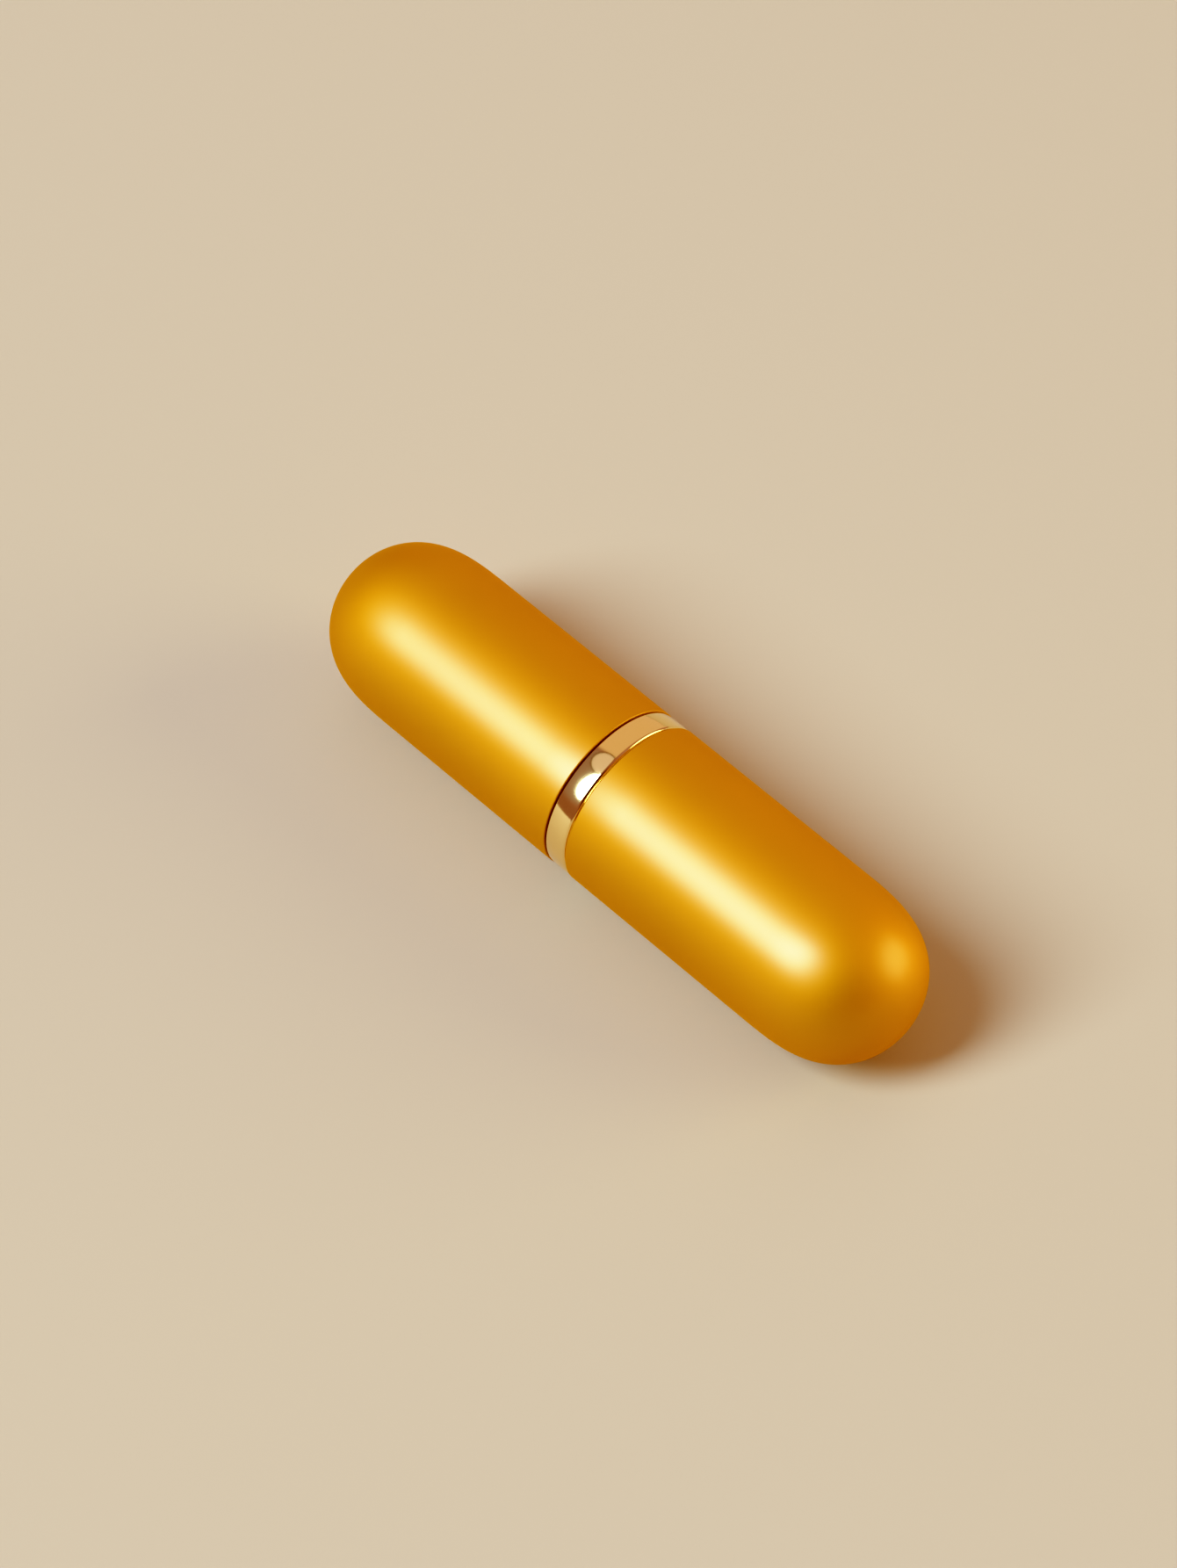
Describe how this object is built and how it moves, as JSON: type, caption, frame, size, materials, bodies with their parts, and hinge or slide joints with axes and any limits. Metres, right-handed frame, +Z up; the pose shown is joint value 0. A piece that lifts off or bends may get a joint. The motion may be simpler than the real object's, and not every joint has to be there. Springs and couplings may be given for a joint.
{
  "type": "mascara tube",
  "caption": "Capsule-shaped mascara tube with a satin gold cap and base that meet at a polished ring; the cap unscrews and draws out a brush wand.",
  "frame": {"origin": "bottom centre of the bounding box: the middle of the tube's length, on the line where it touches the surface it lies on", "axes": "+X along the tube from the base tip to the cap tip, +Z up, away from the surface"},
  "size_m": [0.0908, 0.022, 0.022],
  "materials": {
    "satin_gold_cap": "satin gold anodised",
    "satin_gold_base": "satin gold anodised",
    "polished_ring": "polished pale gold",
    "inner_cap_plastic": "moulded black",
    "gasket_foam": "closed-cell foam",
    "stem_plastic": "moulded black",
    "brush_wire": "twisted wire",
    "brush_fibre": "nylon fibre",
    "vial_plastic": "natural white",
    "wiper_rubber": "soft natural",
    "formula_paste": "wet black paste"
  },
  "bodies": {
    "base": {"base_shell": "satin_gold_base", "collar_ring": "polished_ring", "vial": "vial_plastic", "wiper": "wiper_rubber", "formula": "formula_paste"},
    "gasket": {"cap_gasket": "gasket_foam"},
    "stem": {"wand_stem": "stem_plastic"},
    "cap": {"cap_shell": "satin_gold_cap", "inner_cap": "inner_cap_plastic", "brush_core": "brush_wire", "brush_bristles": "brush_fibre"}
  },
  "joints": [
    {"name": "wand_pull", "type": "slide", "parent": "base", "child": "gasket", "axis": [1, 0, 0], "range_m": [0, 0.056], "deforming": ["brush_bristles"]},
    {"name": "cap_rise", "type": "slide", "parent": "gasket", "child": "stem", "axis": [1, 0, 0], "range_m": [0, 0.004]},
    {"name": "cap_unscrew", "type": "hinge", "parent": "stem", "child": "cap", "pos_m": [0.00194, 0, 0.011], "axis": [1, 0, 0], "range_deg": [0, 480]}
  ],
  "couplings": [
    {"joint": "cap_rise", "follows": "cap_unscrew", "m_per_rad": 0.00047746}
  ]
}
